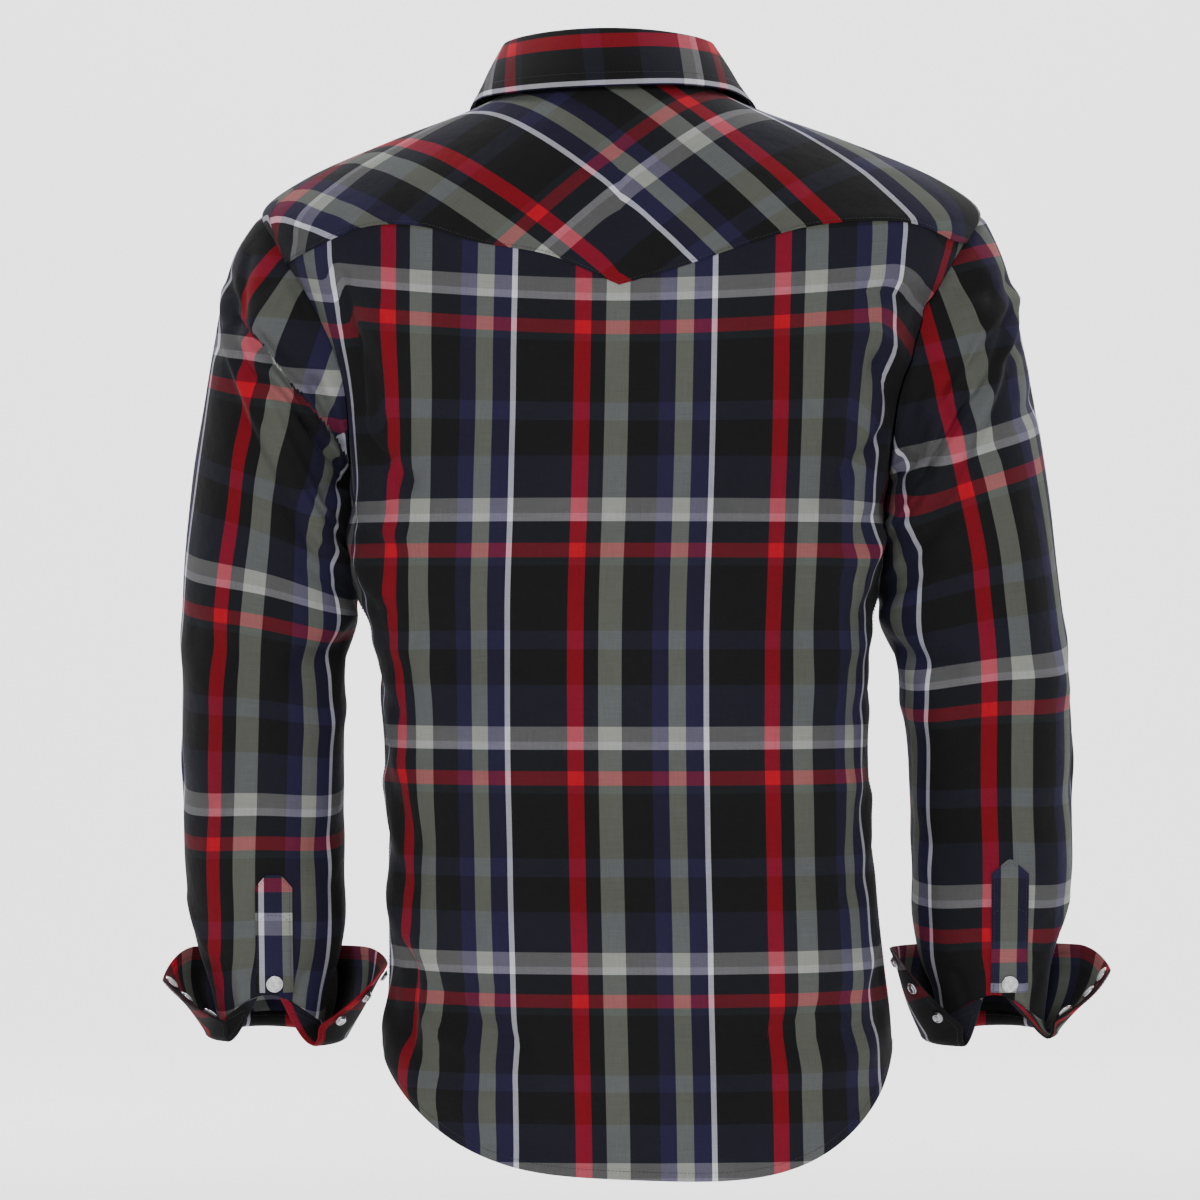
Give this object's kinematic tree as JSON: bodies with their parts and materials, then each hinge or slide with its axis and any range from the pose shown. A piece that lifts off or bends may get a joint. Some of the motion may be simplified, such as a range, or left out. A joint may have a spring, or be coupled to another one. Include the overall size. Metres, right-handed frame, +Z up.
{
  "type": "western snap shirt",
  "caption": "Long-sleeved western shirt in its worn, hollow form: pointed back yoke, turned-down collar, snap front and turned-back cuffs.",
  "frame": {"origin": "centre of the neck at the height where the shoulders meet it, where the wearer's shoulders hold the shirt", "axes": "+Z up, +Y towards the front of the shirt (the side with the snap band), -Y towards its back, +X towards the wearer's right"},
  "size_m": [0.6649, 0.269, 0.7915],
  "materials": {
    "shirting": "brushed cotton plaid",
    "bias_shirting": "the same plaid cut on the bias",
    "doubled_shirting": "plaid, two layers over interlining",
    "pearl_snap": "pearly",
    "steel_snap": "polished"
  },
  "bodies": {
    "root": {"back": "shirting", "back_yoke": "bias_shirting", "collar": "doubled_shirting", "collar_stand": "doubled_shirting", "cuff_left": "doubled_shirting", "cuff_right": "doubled_shirting", "front_band": "doubled_shirting", "front_left": "shirting", "front_right": "shirting", "placket_left": "shirting", "placket_right": "shirting", "sleeve_left": "shirting", "sleeve_right": "shirting", "snap_cuff_left_cap_1": "pearl_snap", "snap_cuff_left_cap_2": "pearl_snap", "snap_cuff_left_cap_3": "pearl_snap", "snap_cuff_right_cap_1": "pearl_snap", "snap_cuff_right_cap_2": "pearl_snap", "snap_cuff_right_cap_3": "pearl_snap", "snap_front_1": "pearl_snap", "snap_front_2": "pearl_snap", "snap_front_3": "pearl_snap", "snap_front_4": "pearl_snap", "snap_front_5": "pearl_snap", "snap_front_6": "pearl_snap", "snap_front_7": "pearl_snap", "snap_placket_left": "pearl_snap", "snap_placket_right": "pearl_snap", "snap_stand": "pearl_snap", "snap_cuff_left_stud_1": "steel_snap", "snap_cuff_left_stud_2": "steel_snap", "snap_cuff_left_stud_3": "steel_snap", "snap_cuff_right_stud_1": "steel_snap", "snap_cuff_right_stud_2": "steel_snap", "snap_cuff_right_stud_3": "steel_snap"}
  },
  "joints": []
}
